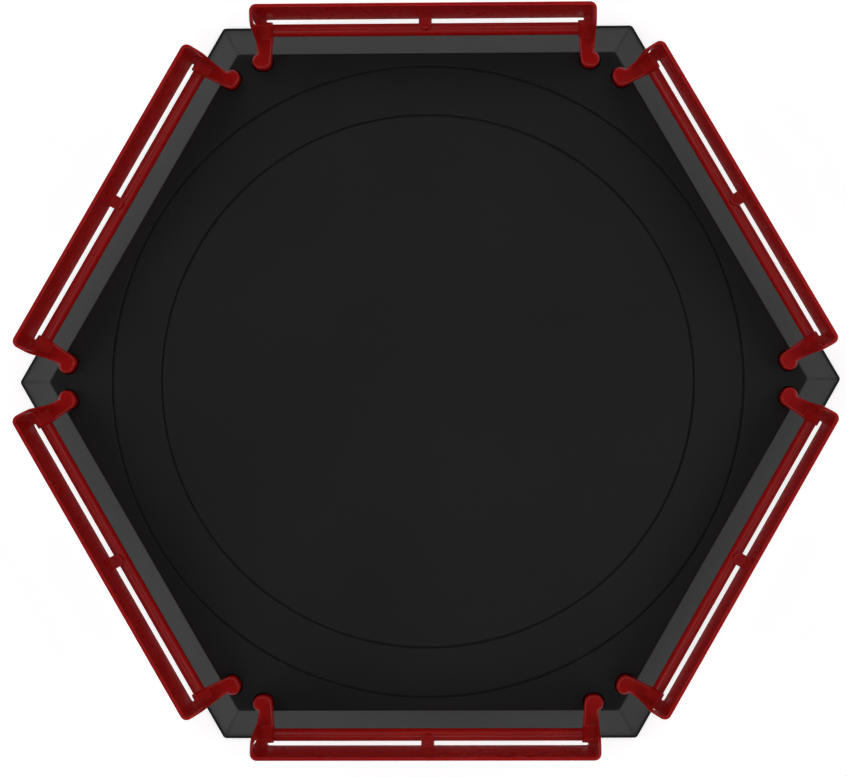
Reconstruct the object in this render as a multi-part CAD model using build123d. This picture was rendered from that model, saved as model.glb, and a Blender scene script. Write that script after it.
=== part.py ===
"""Hexagonal battle tray with six lift-off guard rails on a moulded base with rubber feet.

Millimetres, +Z up.  The origin is the centre of the tray on the surface it stands on.
Two of the hexagon's corners lie on the X axis and two of its flat sides face +Y and -Y.
"""

import os
from math import cos, radians

from build123d import *

# ---- base moulding -------------------------------------------------------------------
OUTLINE_CORNERS = 370.0  # across two opposite corners of the outline
OUTLINE_APOTHEM = OUTLINE_CORNERS / 2 * cos(radians(30))
DECK_APOTHEM = 145.5  # centre of the deck to one of its straight edges
DECK_Z = 20.0
DECK_THICKNESS = 3.5
RIM_Z = 1.0  # underside of the rim, held off the table by the rubber feet
RIM_HEIGHT = 2.0
RIM_LEDGE = 0.8  # how far the rim stands out past the skirt
SKIRT_WALL = 3.2  # measured level, not square to the slope
CORNER_RADIUS = 2.0
DECK_EDGE_RADIUS = 1.0

DISH_RADIUS = 117.9
DISH_DEPTH = 1.5
RING_RADIUS = 139.8
GROOVE_WIDTH = 1.2
GROOVE_DEPTH = 0.8

RIB_DEPTH = 5.0
RIB_THICKNESS = 1.8
OVERLAP = 0.5  # how far ribs and bosses run up into the deck that carries them
SKIN = 1.0  # what stays of the skirt where a boss or rib meets it

# ---- guard rails, in the frame of the guard on the +Y side ---------------------------
GUARD_HALF_LENGTH = 74.8
GUARD_TOP_Z = 56.0
WALL_FACE_Y = 159.4  # the wall's inner face at its foot
WALL_FACE_TOP_Y = 160.3  # and at its top, drafted for moulding
WALL_OUTER_Y = 161.9
WALL_FOOT_Z = 29.0
WALL_CORNER_RADIUS = 3.0
WALL_SKIN = 1.0  # what stays of the wall behind an arm

RAIL_INNER_Y = 153.0
RAIL_OUTER_Y = 157.9
RAIL_FOOT_Z = 22.2
RAIL_TOP_Z = 26.5
RAIL_ROUND = 3.4

SLIT_INNER_X = 2.9
SLIT_OUTER_X = 70.0

ARM_INNER_X = 68.6  # at the foot
ARM_ROOT_X = 67.0  # where the arm meets the wall
ARM_FOOT_Z = 22.0
ARM_TOP_Z = 25.5
ARM_ROOT_Z = 32.0
ARM_RAMP_Y = (150.5, 156.5)
ARM_RAMP_THICKNESS = 3.2
ARM_BAR_END_Y = 157.3  # the low bar stops short of the slit
ARM_EDGE_RADIUS = 1.2

CHEEK_THICKNESS = 1.3
CHEEK_TOP_Y = 153.2
CHEEK_FOOT_Y = 149.4
CHEEK_FOOT_Z = 28.0
CHEEK_TOE_Y = 145.0
CHEEK_TOE_Z = 23.0  # underside of the cheek, a little above the arm's
CHEEK_RADIUS = 6.0
CHEEK_EDGE_RADIUS = 0.5

CHEEK_SLOT_Y = 156.0
CHEEK_SLOT_WIDTH = 2.4
CHEEK_SLOT_Z = (32.5, 51.0)

BRACKET_HALF_WIDTH = 2.8
BRACKET_END_RADIUS = 2.7
BRACKET_INNER_Y = 154.6
BRACKET_Z = (24.0, 31.5)
BRACKET_EDGE_RADIUS = 0.8

# ---- pegs and their sockets ----------------------------------------------------------
PEG_X = 72.8
PEG_Y = 141.85
PEG_LENGTH = 8.4  # along the guard
PEG_WIDTH = 6.9
PEG_DEPTH = 10.0  # how far it reaches below the deck
PEG_TIP_CHAMFER = 0.8
SOCKET_GAP = 0.6
SOCKET_WALL = 1.8
SOCKET_Z = (8.0, 19.0)
SOCKET_FLOOR = 1.4
HEAD_GAP = 0.3  # the peg's head stays this far above the deck

# ---- push-in rubber feet -------------------------------------------------------------
FOOT_CIRCLE_RADIUS = 135.0
FOOT_RADIUS = 7.0
FOOT_HEIGHT = 2.0
FOOT_EDGE_RADIUS = 0.6
STEM_RADIUS = 3.45
STEM_HEIGHT = 6.0
FOOT_BORE_RADIUS = 3.5
FOOT_BORE_HEIGHT = 9.0
FOOT_BOSS_RADIUS = 6.0

SIDES = {
    "rear": 0,
    "rear_left": 60,
    "front_left": 120,
    "front": 180,
    "front_right": 240,
    "rear_right": 300,
}
CORNERS = {
    "right": 0,
    "rear_right": 60,
    "rear_left": 120,
    "left": 180,
    "front_left": 240,
    "front_right": 300,
}

# ---- modelling aids ------------------------------------------------------------------
BIG = 400.0  # longer than anything that it is cut from
PAST = 1.0  # how far a cutter or a joined piece runs past the face it goes through
NEAR = 0.01  # tolerance for finding an edge by its place
ON_BASE = (Align.CENTER, Align.CENTER, Align.MIN)


def hexagon(apothem):
    """A flat-sided hexagon with two corners on the X axis."""
    return RegularPolygon(apothem, 6, major_radius=False)


def block(x, y, z):
    """A box given by its low and high limits along each axis."""
    size = (x[1] - x[0], y[1] - y[0], z[1] - z[0])
    return Pos(x[0], y[0], z[0]) * Box(*size, align=Align.MIN)


def prism_along_x(points, x):
    """A (y, z) outline carried along X from x[0] to x[1]."""
    outline = Polyline(*[(x[0], y, z) for y, z in points], close=True)
    return extrude(make_face(outline), amount=x[1] - x[0], dir=(1, 0, 0))


def upright_edges(body):
    """The vertical edges of a body, in groups from low Y to high Y."""
    return body.edges().filter_by(Axis.Z).group_by(Axis.Y)


def top_edges(body):
    """The edges round the highest face of a body."""
    return body.faces().sort_by(Axis.Z)[-1].edges()


# ---- base ----------------------------------------------------------------------------
def skirt_apothem(z):
    """The outer face of the skirt at a height."""
    foot = OUTLINE_APOTHEM - RIM_LEDGE
    rise = (z - RIM_Z - RIM_HEIGHT) / (DECK_Z - RIM_Z - RIM_HEIGHT)
    return foot + (DECK_APOTHEM - foot) * rise


def frustum(low_z, high_z, inset=0.0):
    """The body between two levels of the skirt, drawn in by an inset."""
    low = Pos(0, 0, low_z) * hexagon(skirt_apothem(low_z) - inset)
    high = Pos(0, 0, high_z) * hexagon(skirt_apothem(high_z) - inset)
    return loft([low, high])


def base_shell():
    """Rim, sloping skirt and deck, open underneath."""
    rim = Pos(0, 0, RIM_Z) * extrude(hexagon(OUTLINE_APOTHEM), RIM_HEIGHT)
    rim = fillet(rim.edges().filter_by(Axis.Z), CORNER_RADIUS)
    body = frustum(RIM_Z + RIM_HEIGHT, DECK_Z)
    sloping = body.edges().filter_by(lambda edge: edge.bounding_box().size.Z > NEAR)
    body = fillet(sloping, CORNER_RADIUS)
    body = fillet(top_edges(body), DECK_EDGE_RADIUS)
    hollow = frustum(RIM_Z, DECK_Z - DECK_THICKNESS, SKIRT_WALL)
    return rim + body - hollow


def ring_groove(radius):
    """A square-bottomed circular groove in the deck."""
    outer = Cylinder(radius + GROOVE_WIDTH / 2, 2 * GROOVE_DEPTH)
    inner = Cylinder(radius - GROOVE_WIDTH / 2, 2 * GROOVE_DEPTH)
    return Pos(0, 0, DECK_Z) * (outer - inner)


def dish_and_grooves():
    """What is sunk into the deck: a shallow dish and the two circles around it."""
    sphere_radius = (DISH_RADIUS**2 + DISH_DEPTH**2) / (2 * DISH_DEPTH)
    dish = Pos(0, 0, DECK_Z - DISH_DEPTH + sphere_radius) * Sphere(sphere_radius)
    return [dish, ring_groove(DISH_RADIUS), ring_groove(RING_RADIUS)]


def stiffening_ribs():
    """Low ribs under the deck: three from corner to corner and one ring."""
    deck_underside = DECK_Z - DECK_THICKNESS
    level = (deck_underside - RIB_DEPTH, deck_underside + OVERLAP)
    half = RIB_THICKNESS / 2
    bar = block((-DECK_APOTHEM, DECK_APOTHEM), (-half, half), level)
    bars = [Rot(0, 0, angle) * bar for angle in (0, 60, 120)]
    outer = Cylinder(DISH_RADIUS + half, level[1] - level[0])
    inner = Cylinder(DISH_RADIUS - half, level[1] - level[0])
    ring = Pos(0, 0, sum(level) / 2) * (outer - inner)
    return bars + [ring]


def socket_places():
    """The twelve peg positions: two on each side."""
    pair = [Pos(side * PEG_X, PEG_Y, 0) for side in (-1, 1)]
    return [Rot(0, 0, turn) * place for turn in SIDES.values() for place in pair]


def foot_places():
    """The six foot positions, on top of the feet's pads."""
    reach = Pos(FOOT_CIRCLE_RADIUS, 0, FOOT_HEIGHT)
    return [Rot(0, 0, turn) * reach for turn in CORNERS.values()]


def oblong(gap, low_z, high_z):
    """The peg's section grown by a gap, between two levels."""
    section = SlotOverall(PEG_LENGTH + 2 * gap, PEG_WIDTH + 2 * gap)
    return Pos(0, 0, low_z) * extrude(section, high_z - low_z)


def bosses():
    """What the pegs and the feet plug into, hanging from the deck."""
    socket = oblong(SOCKET_GAP + SOCKET_WALL, *SOCKET_Z)
    reach = DECK_Z - DECK_THICKNESS + OVERLAP - FOOT_HEIGHT
    foot_boss = Cylinder(FOOT_BOSS_RADIUS, reach, align=ON_BASE)
    sockets = [place * socket for place in socket_places()]
    return sockets + [place * foot_boss for place in foot_places()]


def arena_base():
    """The one-piece base moulding."""
    inside = frustum(RIM_Z, DECK_Z - OVERLAP, SKIN)
    added = [piece & inside for piece in stiffening_ribs() + bosses()]
    socket_hole = oblong(SOCKET_GAP, SOCKET_Z[0] + SOCKET_FLOOR, DECK_Z + PAST)
    bore = Cylinder(FOOT_BORE_RADIUS, FOOT_BORE_HEIGHT, align=ON_BASE)
    holes = [place * socket_hole for place in socket_places()]
    holes += [place * bore for place in foot_places()]
    return base_shell() + added - holes - dish_and_grooves()


# ---- guard rail ----------------------------------------------------------------------
def envelope():
    """The guard's outer plan shape with its rounded ends, over its full height."""
    x = (-GUARD_HALF_LENGTH, GUARD_HALF_LENGTH)
    body = block(x, (CHEEK_TOE_Y, WALL_OUTER_Y), (RAIL_FOOT_Z, GUARD_TOP_Z))
    return fillet(upright_edges(body)[-1], WALL_CORNER_RADIUS)


def bent_strip():
    """The wall and the thin cheeks at its ends, as one strip bent round the corners."""
    inner_length = GUARD_HALF_LENGTH - CHEEK_THICKNESS
    draft = (WALL_FACE_TOP_Y - WALL_FACE_Y) / (GUARD_TOP_Z - WALL_FOOT_Z)
    face_low_y = WALL_FACE_Y - draft * WALL_FOOT_Z
    face_high_y = WALL_FACE_TOP_Y + draft * PAST
    high_z = GUARD_TOP_Z + PAST
    inside = [(0, 0), (face_low_y, 0), (face_high_y, high_z), (0, high_z)]
    inner = prism_along_x(inside, (-inner_length, inner_length))

    def at_the_wall(edge):
        return edge.center().Y > CHEEK_TOE_Y and edge.bounding_box().size.Z > NEAR

    corners = inner.edges().filter_by(at_the_wall)
    inner = fillet(corners, WALL_CORNER_RADIUS - CHEEK_THICKNESS)
    top_bend = (CHEEK_TOP_Y, GUARD_TOP_Z)
    foot_bend = (CHEEK_FOOT_Y, CHEEK_FOOT_Z)
    side = [
        (WALL_OUTER_Y, WALL_FOOT_Z),
        (WALL_OUTER_Y, GUARD_TOP_Z),
        top_bend,
        foot_bend,
        (CHEEK_TOE_Y, ARM_TOP_Z - ARM_EDGE_RADIUS),
        (CHEEK_TOE_Y, CHEEK_TOE_Z),
        (face_low_y, CHEEK_TOE_Z),
        (face_low_y, WALL_FOOT_Z),
    ]
    mask = prism_along_x(side, (-GUARD_HALF_LENGTH, GUARD_HALF_LENGTH))

    def at_a_bend(edge):
        centre = edge.center()
        return any(abs(centre.Y - y) + abs(centre.Z - z) < NEAR for y, z in (top_bend, foot_bend))

    bends = mask.edges().filter_by(Axis.X).filter_by(at_a_bend)
    strip = (envelope() - inner) & fillet(bends, CHEEK_RADIUS)
    rim = strip.edges().filter_by(lambda edge: edge.bounding_box().min.Z > GUARD_TOP_Z - NEAR)
    return fillet(rim, CHEEK_EDGE_RADIUS)


def arm():
    """The arm on the +X side: a head over the peg, a tapered bar and a ramp up to the wall."""
    root_y = WALL_OUTER_Y - WALL_SKIN
    bar = Polyline(
        (ARM_INNER_X, PEG_Y),
        (ARM_ROOT_X, root_y),
        (GUARD_HALF_LENGTH, root_y),
        (GUARD_HALF_LENGTH, PEG_Y),
        close=True,
    )
    bar_plan = make_face(bar)
    head_plan = Pos(PEG_X, PEG_Y, 0) * SlotOverall(PEG_LENGTH, PEG_WIDTH)
    foot_z = DECK_Z + HEAD_GAP
    low = Pos(0, 0, foot_z) * extrude(bar_plan + head_plan, ARM_TOP_Z - foot_z)
    low = fillet(top_edges(low), ARM_EDGE_RADIUS)
    low -= block((0, BIG), (PEG_Y + PEG_WIDTH / 2, BIG), (0, ARM_FOOT_Z))
    low -= block((0, BIG), (ARM_BAR_END_Y, BIG), (0, BIG))
    ramp_side = [
        (ARM_RAMP_Y[0], ARM_FOOT_Z),
        (ARM_RAMP_Y[0], ARM_TOP_Z - ARM_EDGE_RADIUS),
        (ARM_RAMP_Y[1], ARM_ROOT_Z),
        (root_y, ARM_ROOT_Z),
        (root_y, ARM_ROOT_Z - ARM_RAMP_THICKNESS),
        (ARM_RAMP_Y[1], ARM_ROOT_Z - ARM_RAMP_THICKNESS),
        (ARM_RAMP_Y[1] - ARM_RAMP_THICKNESS, ARM_FOOT_Z),
    ]
    ramp = extrude(bar_plan, BIG) & prism_along_x(ramp_side, (0, GUARD_HALF_LENGTH + PAST))
    crest = ramp.faces().filter_by(lambda face: face.normal_at().Z > 0.5)
    sides = crest.edges().filter_by(lambda edge: edge.bounding_box().size.X < ARM_EDGE_RADIUS * 2)
    return low + (fillet(sides, ARM_EDGE_RADIUS) & envelope())


def rail():
    """The low rail in front of the wall, rounded towards the dish."""
    x = (-ARM_INNER_X, ARM_INNER_X)
    bar = block(x, (RAIL_INNER_Y, RAIL_OUTER_Y), (RAIL_FOOT_Z, RAIL_TOP_Z))
    crown = bar.edges().filter_by(Axis.X).group_by(Axis.Z)[-1].sort_by(Axis.Y)[0]
    return fillet(crown, RAIL_ROUND)


def bracket():
    """The round-ended bracket that ties the rail to the middle of the wall."""
    x = (-BRACKET_HALF_WIDTH, BRACKET_HALF_WIDTH)
    reach = block(x, (BRACKET_INNER_Y, WALL_FACE_Y + PAST), BRACKET_Z)
    reach = fillet(upright_edges(reach)[0], BRACKET_END_RADIUS)
    return fillet(top_edges(reach).group_by(Axis.Y)[0], BRACKET_EDGE_RADIUS)


def peg():
    """The peg under the arm's head, with a chamfered tip."""
    body = oblong(0, DECK_Z - PEG_DEPTH, DECK_Z + HEAD_GAP + PAST)
    body = chamfer(body.faces().sort_by(Axis.Z)[0].edges(), PEG_TIP_CHAMFER)
    return Pos(PEG_X, PEG_Y, 0) * body


def slits():
    """The narrow slits between rail and wall, one each side of the bracket."""
    width = WALL_FACE_Y - RAIL_OUTER_Y
    cut = extrude(SlotOverall(SLIT_OUTER_X - SLIT_INNER_X, width), ARM_ROOT_Z + PAST)
    middle = (SLIT_INNER_X + SLIT_OUTER_X) / 2
    return [Pos(side * middle, RAIL_OUTER_Y + width / 2, 0) * cut for side in (-1, 1)]


def cheek_slots():
    """The upright slots in the cheeks, just inside the wall."""
    section = SlotOverall(CHEEK_SLOT_Z[1] - CHEEK_SLOT_Z[0], CHEEK_SLOT_WIDTH)
    cut = Rot(0, 90, 0) * extrude(section, CHEEK_THICKNESS + PAST)
    low_x = (GUARD_HALF_LENGTH - CHEEK_THICKNESS, -GUARD_HALF_LENGTH - PAST)
    return [Pos(x, CHEEK_SLOT_Y, sum(CHEEK_SLOT_Z) / 2) * cut for x in low_x]


def guard():
    """One guard rail as it sits on the +Y side."""
    side = arm() + peg()
    whole = bent_strip() + side + mirror(side, about=Plane.YZ) + rail() + bracket()
    return whole - slits() - cheek_slots()


# ---- rubber feet ---------------------------------------------------------------------
def rubber_foot():
    """A push-in foot: a round pad with a stem."""
    pad = Cylinder(FOOT_RADIUS, FOOT_HEIGHT, align=ON_BASE)
    pad = fillet(pad.faces().sort_by(Axis.Z)[0].edges(), FOOT_EDGE_RADIUS)
    stem = Cylinder(STEM_RADIUS, FOOT_HEIGHT + STEM_HEIGHT, align=ON_BASE)
    return Pos(FOOT_CIRCLE_RADIUS, 0, 0) * (pad + stem)


def main():
    os.makedirs("parts", exist_ok=True)
    export_step(arena_base(), "parts/arena_base.step")
    guard_rail = guard()
    for place, turn in SIDES.items():
        export_step(Rot(0, 0, turn) * guard_rail, f"parts/guard_rail_{place}.step")
    foot = rubber_foot()
    for place, turn in CORNERS.items():
        export_step(Rot(0, 0, turn) * foot, f"parts/rubber_foot_{place}.step")


if __name__ == "__main__":
    main()
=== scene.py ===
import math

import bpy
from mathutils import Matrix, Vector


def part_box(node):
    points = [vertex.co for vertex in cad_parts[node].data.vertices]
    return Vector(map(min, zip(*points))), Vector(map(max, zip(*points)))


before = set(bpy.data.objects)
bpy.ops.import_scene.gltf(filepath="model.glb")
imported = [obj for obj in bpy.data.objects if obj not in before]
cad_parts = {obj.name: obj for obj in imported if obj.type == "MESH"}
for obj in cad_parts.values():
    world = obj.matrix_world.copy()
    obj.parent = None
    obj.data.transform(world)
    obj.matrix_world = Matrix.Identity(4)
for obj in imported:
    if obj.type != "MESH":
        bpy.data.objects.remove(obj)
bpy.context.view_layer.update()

# Looks of the hexagonal battle tray: a matte black moulding, glossy red guard rails and rubber feet,
# on a pale floor in soft studio light.  Lengths are in metres, in the frame of the CAD model, and
# noise scales are in features per metre.


def grey(level):
    """A neutral colour of that linear brightness."""
    return (level, level, level, 1.0)


# ---- the tray ------------------------------------------------------------------------
BASE_LOW, BASE_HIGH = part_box("arena_base")
DECK_Z = BASE_HIGH.z
TRAY_WIDTH = BASE_HIGH.x - BASE_LOW.x
DISH_SHARE = 0.32  # radius of the dish, over the width of the tray
PLAY_RADIUS = DISH_SHARE * TRAY_WIDTH  # inside it spinning tops leave their marks

# ---- camera --------------------------------------------------------------------------
CAMERA_PLACE = Vector((0.0389, -0.0090, 1.0))
CAMERA_TURN_DEG = (1.82, 1.17, -0.24)
CAMERA_LENS_MM = 94.04
CAMERA_SENSOR_MM = 36.0
CAMERA_SHIFT = (-0.0549, -0.0691)

# ---- lights, floor and backdrop ------------------------------------------------------
SIDE_LIGHTS = 6
SIDE_LIGHT_DISTANCE = 1.0
SIDE_LIGHT_HEIGHT = 0.9
SIDE_LIGHT_SIZE = (0.8, 0.4)
SIDE_LIGHT_WATTS = 2.2
SIDE_LIGHT_SWING = 0.3  # how much stronger the panels are to the left and right
TOP_LIGHT_PLACE = (0.0, 0.0, 1.1)
TOP_LIGHT_SIZE = (0.25, 0.25)
TOP_LIGHT_WATTS = 0.5

FLOOR_SIZE = 12.0
FLOOR_GLOW = 0.55  # the floor is a light table
FLOOR_PATCHES = dict(scale=3.0, detail=3.0)
FLOOR_ROUGHNESS = dict(low=0.3, high=0.7, to_low=0.75, to_high=0.9)
FLOOR_GLOSS = 0.2
PAPER_DARK = grey(0.86)
PAPER_LIGHT = grey(0.90)
PAPER_SMUDGES = dict(scale=40.0, detail=3.0)
PAPER_FIBRES = dict(scale=700.0, detail=3.0)
PAPER_RELIEF = dict(distance=0.00005, strength=0.2)

BACKDROP_BRIGHTNESS = 0.95  # where the camera sees past the floor
SKY_TINT = (0.98, 0.985, 1.0, 1.0)
SKY_FADE_FROM_Z = 0.25  # height on the unit sphere of the sky
SKY_FADE_TO_Z = 0.95
SKY_BRIGHT = 0.34  # near the horizon
SKY_DIM = 0.02  # overhead

# ---- black moulding ------------------------------------------------------------------
BLACK_DARK = (0.0050, 0.0050, 0.0052, 1.0)
BLACK_LIGHT = (0.0078, 0.0077, 0.0078, 1.0)
BLACK_WORN = grey(0.045)
BLACK_SCUFFED = grey(0.035)
BLACK_SCRATCHED = grey(0.040)
BLACK_DUSTY = grey(0.16)
# painted shade: near black laid into grooves and tight corners, where occlusion darkens them
BLACK_PAINTED_SHADE = grey(0.0006)
BLACK_WORN_SHARE = 0.55  # how much of the colour laid on each kind of mark shows
BLACK_SCUFFED_SHARE = 0.20
BLACK_SCRATCHED_SHARE = 0.12
BLACK_DUSTY_SHARE = 0.8
BLACK_CLOUDS = dict(scale=13.0, detail=3.0, roughness=0.55)
BLACK_CLOUD_CONTRAST = (0.3, 0.7)
BLACK_WEAR = dict(radius=0.0009, low=0.02, high=0.35)
BLACK_WEAR_PATCHES = dict(scale=240.0, detail=3.0)
BLACK_WEAR_CONTRAST = (0.35, 0.65)
BLACK_SCRATCHES = ((900.0, 30.0, 0.5), (800.0, 25.0, 2.1))  # scale, stretch and turn
BLACK_DUST = dict(spacing=0.034, share=0.14, radius=0.0004)
BLACK_CREVICE_REACH = 0.0016
BLACK_ROUGHNESS = dict(low=0.25, high=0.75, to_low=0.42, to_high=0.52)
BLACK_MARK_ROUGHNESS = -0.04  # added by marks, and below by the grain and in crevices
BLACK_GRAIN_ROUGHNESS = 0.12
BLACK_CREVICE_ROUGHNESS = 0.4
BLACK_GLOSS = 0.28
BLACK_EDGE_RADIUS = 0.0004
BLACK_WAVES = dict(scale=70.0, detail=1.0)
BLACK_WAVE_RELIEF = dict(distance=0.0002, strength=0.15)
BLACK_GRAIN = dict(scale=1500.0, detail=3.0, roughness=0.6)
BLACK_GRAIN_RELIEF = dict(distance=0.00005, strength=0.5)
BLACK_MARK_RELIEF = dict(distance=0.00004, strength=0.4)

# ---- red moulding --------------------------------------------------------------------
RED_DARK = (0.320, 0.0012, 0.0014, 1.0)
RED_LIGHT = (0.375, 0.0022, 0.0024, 1.0)
# painted highlight: a lighter pink red laid along the thin edges of the guards, where their rounded rims
# would catch the bright surroundings
RED_PAINTED_HIGHLIGHT = (0.60, 0.045, 0.040, 1.0)
RED_SCRATCHED = (0.50, 0.08, 0.07, 1.0)
RED_DUSTY = (0.55, 0.35, 0.33, 1.0)
RED_PAINTED_HIGHLIGHT_SHARE = 0.60
RED_SCRATCHED_SHARE = 0.15
RED_DUSTY_SHARE = 0.5
RED_CLOUDS = dict(scale=22.0, detail=3.0, roughness=0.6)
RED_CLOUD_CONTRAST = (0.3, 0.7)
RED_PAINTED_HIGHLIGHT_EDGES = dict(radius=0.0005, low=0.03, high=0.30)
RED_SCRATCHES = ((1000.0, 70.0, 0.2), (900.0, 60.0, 1.7))  # scale, stretch and turn
RED_DUST = dict(spacing=0.019, share=0.16, radius=0.00028)
RED_SMUDGES = dict(scale=55.0, detail=4.0, roughness=0.65)
RED_ROUGHNESS = dict(low=0.3, high=0.7, to_low=0.25, to_high=0.31)
RED_SCRATCH_ROUGHNESS = 0.12
RED_GLOSS = 0.28
RED_GLOW = 0.06  # share of the light that gets into the plastic
RED_GLOW_DEPTH = 0.003
RED_GLOW_REACH = (1.0, 0.10, 0.08)  # red light goes furthest
RED_EDGE_RADIUS = 0.0003
RED_WAVES = dict(scale=120.0, detail=1.0)
RED_WAVE_RELIEF = dict(distance=0.00005, strength=0.10)
RED_GRAIN = dict(scale=900.0, detail=2.0)
RED_GRAIN_RELIEF = dict(distance=0.00002, strength=0.12)
RED_MARK_RELIEF = dict(distance=0.00003, strength=0.4)

# ---- rubber --------------------------------------------------------------------------
RUBBER_DARK = (0.016, 0.016, 0.017, 1.0)
RUBBER_LIGHT = (0.026, 0.026, 0.027, 1.0)
RUBBER_WORN = grey(0.07)
RUBBER_DUSTY = grey(0.09)
RUBBER_WORN_SHARE = 0.5
RUBBER_DUSTY_SHARE = 0.5
RUBBER_CLOUDS = dict(scale=180.0, detail=3.0, roughness=0.6)
RUBBER_CLOUD_CONTRAST = (0.35, 0.65)
RUBBER_WEAR = dict(radius=0.0006, low=0.02, high=0.35)
RUBBER_DUST = dict(scale=420.0, detail=4.0, roughness=0.7)
RUBBER_DUST_CONTRAST = (0.55, 0.75)
RUBBER_ROUGHNESS = dict(low=0.3, high=0.7, to_low=0.68, to_high=0.86)
RUBBER_GLOSS = 0.35
RUBBER_GRAIN = dict(scale=2200.0, detail=3.0, roughness=0.6)
RUBBER_RELIEF = dict(distance=0.00004, strength=0.6)

# ---- marks that the finishes share ---------------------------------------------------
SCUFF_RINGS = 1100.0  # noise per metre of radius
SCUFF_ARCS = 2.2  # noise per radian
SCUFF_NOISE = dict(scale=1.0, detail=2.0, roughness=0.6)
SCUFF_CONTRAST = (0.62, 0.74)
SCUFF_PATCHES = dict(scale=16.0, detail=2.0)
SCUFF_PATCH_CONTRAST = (0.50, 0.66)
SCUFF_FADE = 0.9  # share of the radius where the marks begin to fade out

SCRATCH_NOISE = dict(scale=1.0, detail=1.0)
SCRATCH_CONTRAST = (0.745, 0.775)
SCRATCH_PATCHES = dict(scale=9.0, detail=1.0)
SCRATCH_PATCH_CONTRAST = (0.52, 0.62)

SPECK_CORE = 0.5  # share of a speck's radius at full strength
NOISE_MIDDLE = 0.5
OPEN_SKY = 0.85  # unblocked share of a point's surroundings at an open face
CLOSED_SKY = 0.35  # and at the bottom of a groove
SURFACE_SAMPLES = 4


# ---- node helpers --------------------------------------------------------------------
class Graph:
    """A material's node tree, with short calls for the nodes that the finishes share."""

    def __init__(self, name):
        self.material = bpy.data.materials.new(name)
        self.material.use_nodes = True
        self.tree = self.material.node_tree
        self.shader = self.tree.nodes["Principled BSDF"]
        self.place = self.add("ShaderNodeTexCoord").outputs["Object"]

    def add(self, kind, inputs=None, **settings):
        """A node with its settings, and its inputs linked or set by name or number."""
        made = self.tree.nodes.new(kind)
        for setting, value in settings.items():
            setattr(made, setting, value)
        for socket, value in (inputs or {}).items():
            if isinstance(value, bpy.types.NodeSocket):
                self.tree.links.new(value, made.inputs[socket])
            else:
                made.inputs[socket].default_value = value
        return made

    def math(self, operation, a, b=0.0):
        return self.add("ShaderNodeMath", {0: a, 1: b}, operation=operation).outputs[0]

    def plus(self, value, extra, share):
        """value with a share of extra added."""
        return self.math("ADD", value, self.math("MULTIPLY", extra, share))

    def noise(self, scale, detail=2.0, roughness=0.5, place=None):
        place = place or self.place
        inputs = {"Vector": place, "Scale": scale, "Detail": detail, "Roughness": roughness}
        return self.add("ShaderNodeTexNoise", inputs).outputs["Fac"]

    def span(self, value, low, high, to_low=0.0, to_high=1.0):
        """value mapped from low..high to to_low..to_high, and held there."""
        inputs = {"Value": value, "From Min": low, "From Max": high, "To Min": to_low, "To Max": to_high}
        return self.add("ShaderNodeMapRange", inputs).outputs["Result"]

    def mix(self, factor, a, b):
        """Colour a where factor is 0 and colour b where it is 1."""
        factor_socket, a_socket, b_socket, result_socket = 0, 6, 7, 2
        inputs = {factor_socket: factor, a_socket: a, b_socket: b}
        return self.add("ShaderNodeMix", inputs, data_type="RGBA").outputs[result_socket]

    def paint(self, colour, mask, over, share):
        """colour with a share of another one laid over it where the mask is 1."""
        return self.mix(self.math("MULTIPLY", mask, share), colour, over)

    def rounded(self, radius):
        """The surface normal with sharp edges rounded off."""
        return self.add("ShaderNodeBevel", {"Radius": radius}, samples=SURFACE_SAMPLES).outputs["Normal"]

    def edges(self, radius, low, high):
        """0 on open faces and 1 along edges, from how far a rounded normal leans off the true one."""
        inputs = {0: self.rounded(radius), 1: self.add("ShaderNodeNewGeometry").outputs["Normal"]}
        product = self.add("ShaderNodeVectorMath", inputs, operation="DOT_PRODUCT").outputs["Value"]
        return self.span(self.math("SUBTRACT", 1.0, product), low, high)

    def crevices(self, reach):
        """1 at the bottom of grooves and tight corners, and 0 on open faces; it masks painted shade
        there.
        """
        settings = {"samples": SURFACE_SAMPLES, "only_local": True}
        sky = self.add("ShaderNodeAmbientOcclusion", {"Distance": reach}, **settings)
        return self.span(sky.outputs["AO"], OPEN_SKY, CLOSED_SKY)

    def bump(self, height, distance, strength, under=None):
        """The surface normal with a relief of that height, on top of the normal given."""
        inputs = {"Height": height, "Distance": distance, "Strength": strength}
        if under is not None:
            inputs["Normal"] = under
        return self.add("ShaderNodeBump", inputs).outputs["Normal"]

    def finish(self, colour, roughness, normal, **constants):
        """Feeds the shader, and sets what is the same all over on its own sockets."""
        self.tree.links.new(colour, self.shader.inputs["Base Color"])
        self.tree.links.new(roughness, self.shader.inputs["Roughness"])
        self.tree.links.new(normal, self.shader.inputs["Normal"])
        for name, value in constants.items():
            self.shader.inputs[name.replace("_", " ")].default_value = value
        return self.material


# ---- marks ---------------------------------------------------------------------------
def specks(g, spacing, share, radius):
    """Small round specks: one cell in a few carries one."""
    cells = g.add("ShaderNodeTexVoronoi", {"Vector": g.place, "Scale": 1 / spacing})
    reach = radius / spacing
    near = g.span(cells.outputs["Distance"], reach, SPECK_CORE * reach)
    chosen = g.add("ShaderNodeSeparateColor", {"Color": cells.outputs["Color"]}).outputs["Red"]
    return g.math("MULTIPLY", near, g.math("GREATER_THAN", chosen, 1 - share))


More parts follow.
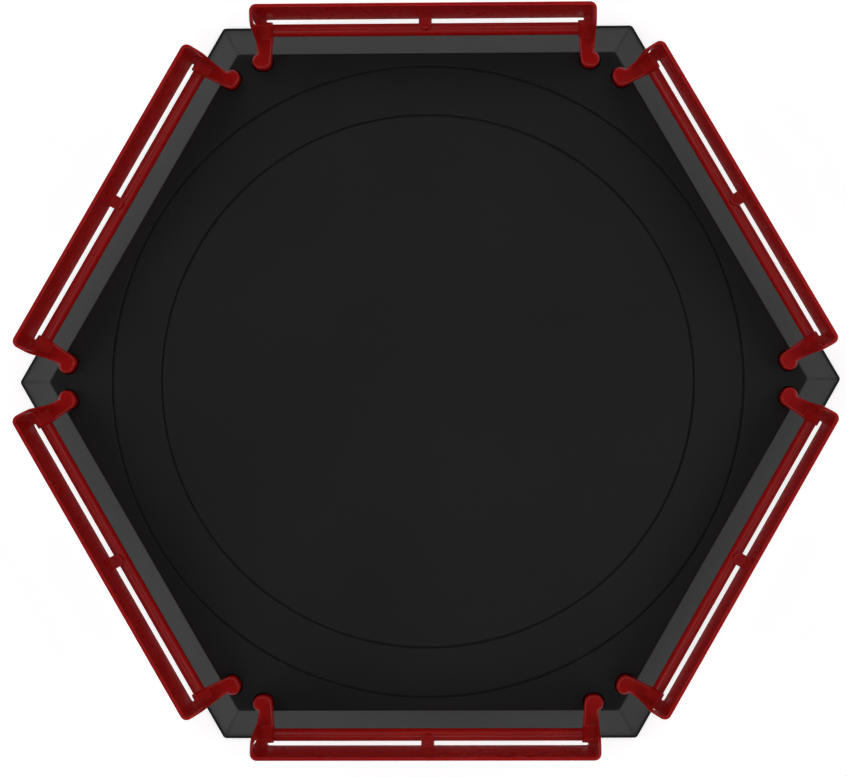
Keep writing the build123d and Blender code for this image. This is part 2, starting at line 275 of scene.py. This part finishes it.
def circular_scuffs(g, reach):
    """Faint arcs about the middle of the dish, in patches, as spinning tops wear it."""
    parts = g.add("ShaderNodeSeparateXYZ", {"Vector": g.place})
    x, y = parts.outputs["X"], parts.outputs["Y"]
    squares = g.math("ADD", g.math("MULTIPLY", x, x), g.math("MULTIPLY", y, y))
    radius = g.math("SQRT", squares)
    rings = g.math("MULTIPLY", radius, SCUFF_RINGS)
    turns = g.math("MULTIPLY", g.math("ARCTAN2", y, x), SCUFF_ARCS)
    polar = g.add("ShaderNodeCombineXYZ", {"X": rings, "Y": turns}).outputs["Vector"]
    arcs = g.span(g.noise(place=polar, **SCUFF_NOISE), *SCUFF_CONTRAST)
    patches = g.span(g.noise(**SCUFF_PATCHES), *SCUFF_PATCH_CONTRAST)
    inside = g.span(radius, reach, SCUFF_FADE * reach)
    return g.math("MULTIPLY", g.math("MULTIPLY", arcs, patches), inside)


def hair_scratches(g, directions):
    """Thin straight marks, in patches, along each direction's turn."""
    lines = 0.0
    for scale, stretch, turn in directions:
        scales = (scale, scale / stretch, scale)
        inputs = {"Vector": g.place, "Rotation": (0.0, 0.0, turn), "Scale": scales}
        turned = g.add("ShaderNodeMapping", inputs).outputs["Vector"]
        more = g.span(g.noise(place=turned, **SCRATCH_NOISE), *SCRATCH_CONTRAST)
        lines = g.math("MAXIMUM", lines, more)
    patches = g.span(g.noise(**SCRATCH_PATCHES), *SCRATCH_PATCH_CONTRAST)
    return g.math("MULTIPLY", lines, patches)


def sunken(g, marks):
    """The height of marks that are cut into the surface."""
    return g.math("MULTIPLY", marks, -1.0)


# ---- finishes ------------------------------------------------------------------------
def black_plastic():
    """Matte black moulding with a fine spark-eroded grain, worn lighter along its edges, with painted
    shade in its grooves and tight corners.
    """
    g = Graph("black_plastic")
    clouds = g.noise(**BLACK_CLOUDS)
    wear_patches = g.span(g.noise(**BLACK_WEAR_PATCHES), *BLACK_WEAR_CONTRAST)
    worn = g.math("MULTIPLY", g.edges(**BLACK_WEAR), wear_patches)
    scuffs = circular_scuffs(g, PLAY_RADIUS)
    scratches = hair_scratches(g, BLACK_SCRATCHES)
    marks = g.math("ADD", scuffs, scratches)
    crevices = g.crevices(BLACK_CREVICE_REACH)
    grain = g.noise(**BLACK_GRAIN)

    colour = g.mix(g.span(clouds, *BLACK_CLOUD_CONTRAST), BLACK_DARK, BLACK_LIGHT)
    colour = g.paint(colour, worn, BLACK_WORN, BLACK_WORN_SHARE)
    colour = g.paint(colour, scuffs, BLACK_SCUFFED, BLACK_SCUFFED_SHARE)
    colour = g.paint(colour, scratches, BLACK_SCRATCHED, BLACK_SCRATCHED_SHARE)
    colour = g.paint(colour, specks(g, **BLACK_DUST), BLACK_DUSTY, BLACK_DUSTY_SHARE)
    # painted shade: the colour goes near black in grooves and tight corners, from an occlusion mask
    colour = g.mix(crevices, colour, BLACK_PAINTED_SHADE)

    grain_about_middle = g.math("SUBTRACT", grain, NOISE_MIDDLE)
    roughness = g.span(clouds, **BLACK_ROUGHNESS)
    roughness = g.plus(roughness, marks, BLACK_MARK_ROUGHNESS)
    roughness = g.plus(roughness, grain_about_middle, BLACK_GRAIN_ROUGHNESS)
    roughness = g.plus(roughness, crevices, BLACK_CREVICE_ROUGHNESS)

    normal = g.bump(g.noise(**BLACK_WAVES), under=g.rounded(BLACK_EDGE_RADIUS), **BLACK_WAVE_RELIEF)
    normal = g.bump(grain, under=normal, **BLACK_GRAIN_RELIEF)
    normal = g.bump(sunken(g, marks), under=normal, **BLACK_MARK_RELIEF)
    return g.finish(colour, roughness, normal, Specular_IOR_Level=BLACK_GLOSS)


def red_plastic():
    """Deep red glossy moulding: a little light gets into it, and its thin edges carry a painted
    highlight.
    """
    g = Graph("red_plastic")
    scratches = hair_scratches(g, RED_SCRATCHES)

    clouds = g.span(g.noise(**RED_CLOUDS), *RED_CLOUD_CONTRAST)
    colour = g.mix(clouds, RED_DARK, RED_LIGHT)
    # painted highlight: lighter red along the thin edges
    colour = g.paint(colour, g.edges(**RED_PAINTED_HIGHLIGHT_EDGES), RED_PAINTED_HIGHLIGHT, RED_PAINTED_HIGHLIGHT_SHARE)
    colour = g.paint(colour, scratches, RED_SCRATCHED, RED_SCRATCHED_SHARE)
    colour = g.paint(colour, specks(g, **RED_DUST), RED_DUSTY, RED_DUSTY_SHARE)

    roughness = g.span(g.noise(**RED_SMUDGES), **RED_ROUGHNESS)
    roughness = g.plus(roughness, scratches, RED_SCRATCH_ROUGHNESS)

    normal = g.bump(g.noise(**RED_WAVES), under=g.rounded(RED_EDGE_RADIUS), **RED_WAVE_RELIEF)
    normal = g.bump(g.noise(**RED_GRAIN), under=normal, **RED_GRAIN_RELIEF)
    normal = g.bump(sunken(g, scratches), under=normal, **RED_MARK_RELIEF)
    constants = {
        "Specular_IOR_Level": RED_GLOSS,
        "Subsurface_Weight": RED_GLOW,
        "Subsurface_Scale": RED_GLOW_DEPTH,
        "Subsurface_Radius": RED_GLOW_REACH,
    }
    return g.finish(colour, roughness, normal, **constants)


def foot_rubber():
    """Soft dark rubber, dusty where it has stood."""
    g = Graph("foot_rubber")
    clouds = g.noise(**RUBBER_CLOUDS)
    dust = g.span(g.noise(**RUBBER_DUST), *RUBBER_DUST_CONTRAST)
    colour = g.mix(g.span(clouds, *RUBBER_CLOUD_CONTRAST), RUBBER_DARK, RUBBER_LIGHT)
    colour = g.paint(colour, g.edges(**RUBBER_WEAR), RUBBER_WORN, RUBBER_WORN_SHARE)
    colour = g.paint(colour, dust, RUBBER_DUSTY, RUBBER_DUSTY_SHARE)
    roughness = g.span(clouds, **RUBBER_ROUGHNESS)
    normal = g.bump(g.noise(**RUBBER_GRAIN), **RUBBER_RELIEF)
    return g.finish(colour, roughness, normal, Specular_IOR_Level=RUBBER_GLOSS)


def floor_material():
    """Pale matte paper on a light table."""
    g = Graph("studio_floor")
    colour = g.mix(g.noise(**FLOOR_PATCHES), PAPER_DARK, PAPER_LIGHT)
    roughness = g.span(g.noise(**PAPER_SMUDGES), **FLOOR_ROUGHNESS)
    normal = g.bump(g.noise(**PAPER_FIBRES), **PAPER_RELIEF)
    constants = {
        "Specular_IOR_Level": FLOOR_GLOSS,
        "Emission_Color": grey(1.0),
        "Emission_Strength": FLOOR_GLOW,
    }
    return g.finish(colour, roughness, normal, **constants)


def dress(material, nodes):
    """Puts a material on CAD nodes."""
    for name in nodes:
        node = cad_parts[name]
        node.data.materials.clear()
        node.data.materials.append(material)


# ---- surroundings --------------------------------------------------------------------
def link(name, data):
    """A new object in the scene."""
    made = bpy.data.objects.new(name, data)
    bpy.context.scene.collection.objects.link(made)
    return made


def make_floor():
    """One square sheet under the tray."""
    half = FLOOR_SIZE / 2
    mesh = bpy.data.meshes.new("floor")
    corners = [(-half, -half, 0.0), (half, -half, 0.0), (half, half, 0.0), (-half, half, 0.0)]
    mesh.from_pydata(corners, [], [(0, 1, 2, 3)])
    floor = link("floor", mesh)
    floor.data.materials.append(floor_material())


def area_light(name, place, size, watts):
    """A soft rectangular light aimed at the tray, not seen itself."""
    data = bpy.data.lights.new(name, "AREA")
    data.shape = "RECTANGLE"
    data.size, data.size_y = size
    data.energy = watts
    light = link(name, data)
    light.location = place
    aim = Vector((0.0, 0.0, DECK_Z)) - Vector(place)
    light.rotation_euler = aim.to_track_quat("-Z", "Y").to_euler()
    light.visible_camera = False


def make_lights():
    """A ring of panels round the tray and one dim panel above it."""
    for number in range(SIDE_LIGHTS):
        angle = math.tau * number / SIDE_LIGHTS
        x = SIDE_LIGHT_DISTANCE * math.cos(angle)
        y = SIDE_LIGHT_DISTANCE * math.sin(angle)
        watts = SIDE_LIGHT_WATTS * (1 + SIDE_LIGHT_SWING * math.cos(2 * angle))
        area_light(f"side_light_{number + 1}", (x, y, SIDE_LIGHT_HEIGHT), SIDE_LIGHT_SIZE, watts)
    area_light("top_light", TOP_LIGHT_PLACE, TOP_LIGHT_SIZE, TOP_LIGHT_WATTS)


def make_world():
    """Bright towards the horizon and dim overhead, as in a light tent that is open at its top."""
    world = bpy.data.worlds.new("studio")
    world.use_nodes = True
    tree = world.node_tree
    place = tree.nodes.new("ShaderNodeTexCoord").outputs["Generated"]
    split = tree.nodes.new("ShaderNodeSeparateXYZ")
    tree.links.new(place, split.inputs["Vector"])
    fade = tree.nodes.new("ShaderNodeMapRange")
    fade.inputs["From Min"].default_value = SKY_FADE_FROM_Z
    fade.inputs["From Max"].default_value = SKY_FADE_TO_Z
    fade.inputs["To Min"].default_value = SKY_BRIGHT
    fade.inputs["To Max"].default_value = SKY_DIM
    tree.links.new(split.outputs["Z"], fade.inputs["Value"])
    seen = tree.nodes.new("ShaderNodeMix")
    seen.inputs["B"].default_value = BACKDROP_BRIGHTNESS
    camera_ray = tree.nodes.new("ShaderNodeLightPath").outputs["Is Camera Ray"]
    tree.links.new(camera_ray, seen.inputs["Factor"])
    tree.links.new(fade.outputs["Result"], seen.inputs["A"])
    background = tree.nodes["Background"]
    background.inputs["Color"].default_value = SKY_TINT
    tree.links.new(seen.outputs["Result"], background.inputs["Strength"])
    bpy.context.scene.world = world


def make_camera():
    """The camera, nearly straight above the tray."""
    data = bpy.data.cameras.new("camera")
    data.sensor_width = CAMERA_SENSOR_MM
    data.lens = CAMERA_LENS_MM
    data.shift_x, data.shift_y = CAMERA_SHIFT
    camera = link("camera", data)
    camera.location = CAMERA_PLACE
    camera.rotation_euler = [math.radians(turn) for turn in CAMERA_TURN_DEG]
    bpy.context.scene.camera = camera


# ---- the scene -----------------------------------------------------------------------
guards = [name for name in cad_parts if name.startswith("guard_rail")]
feet = [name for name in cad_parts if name.startswith("rubber_foot")]
dress(black_plastic(), ["arena_base"])
dress(red_plastic(), guards)
dress(foot_rubber(), feet)
make_floor()
make_lights()
make_world()
make_camera()
bpy.context.scene.view_settings.view_transform = "Standard"
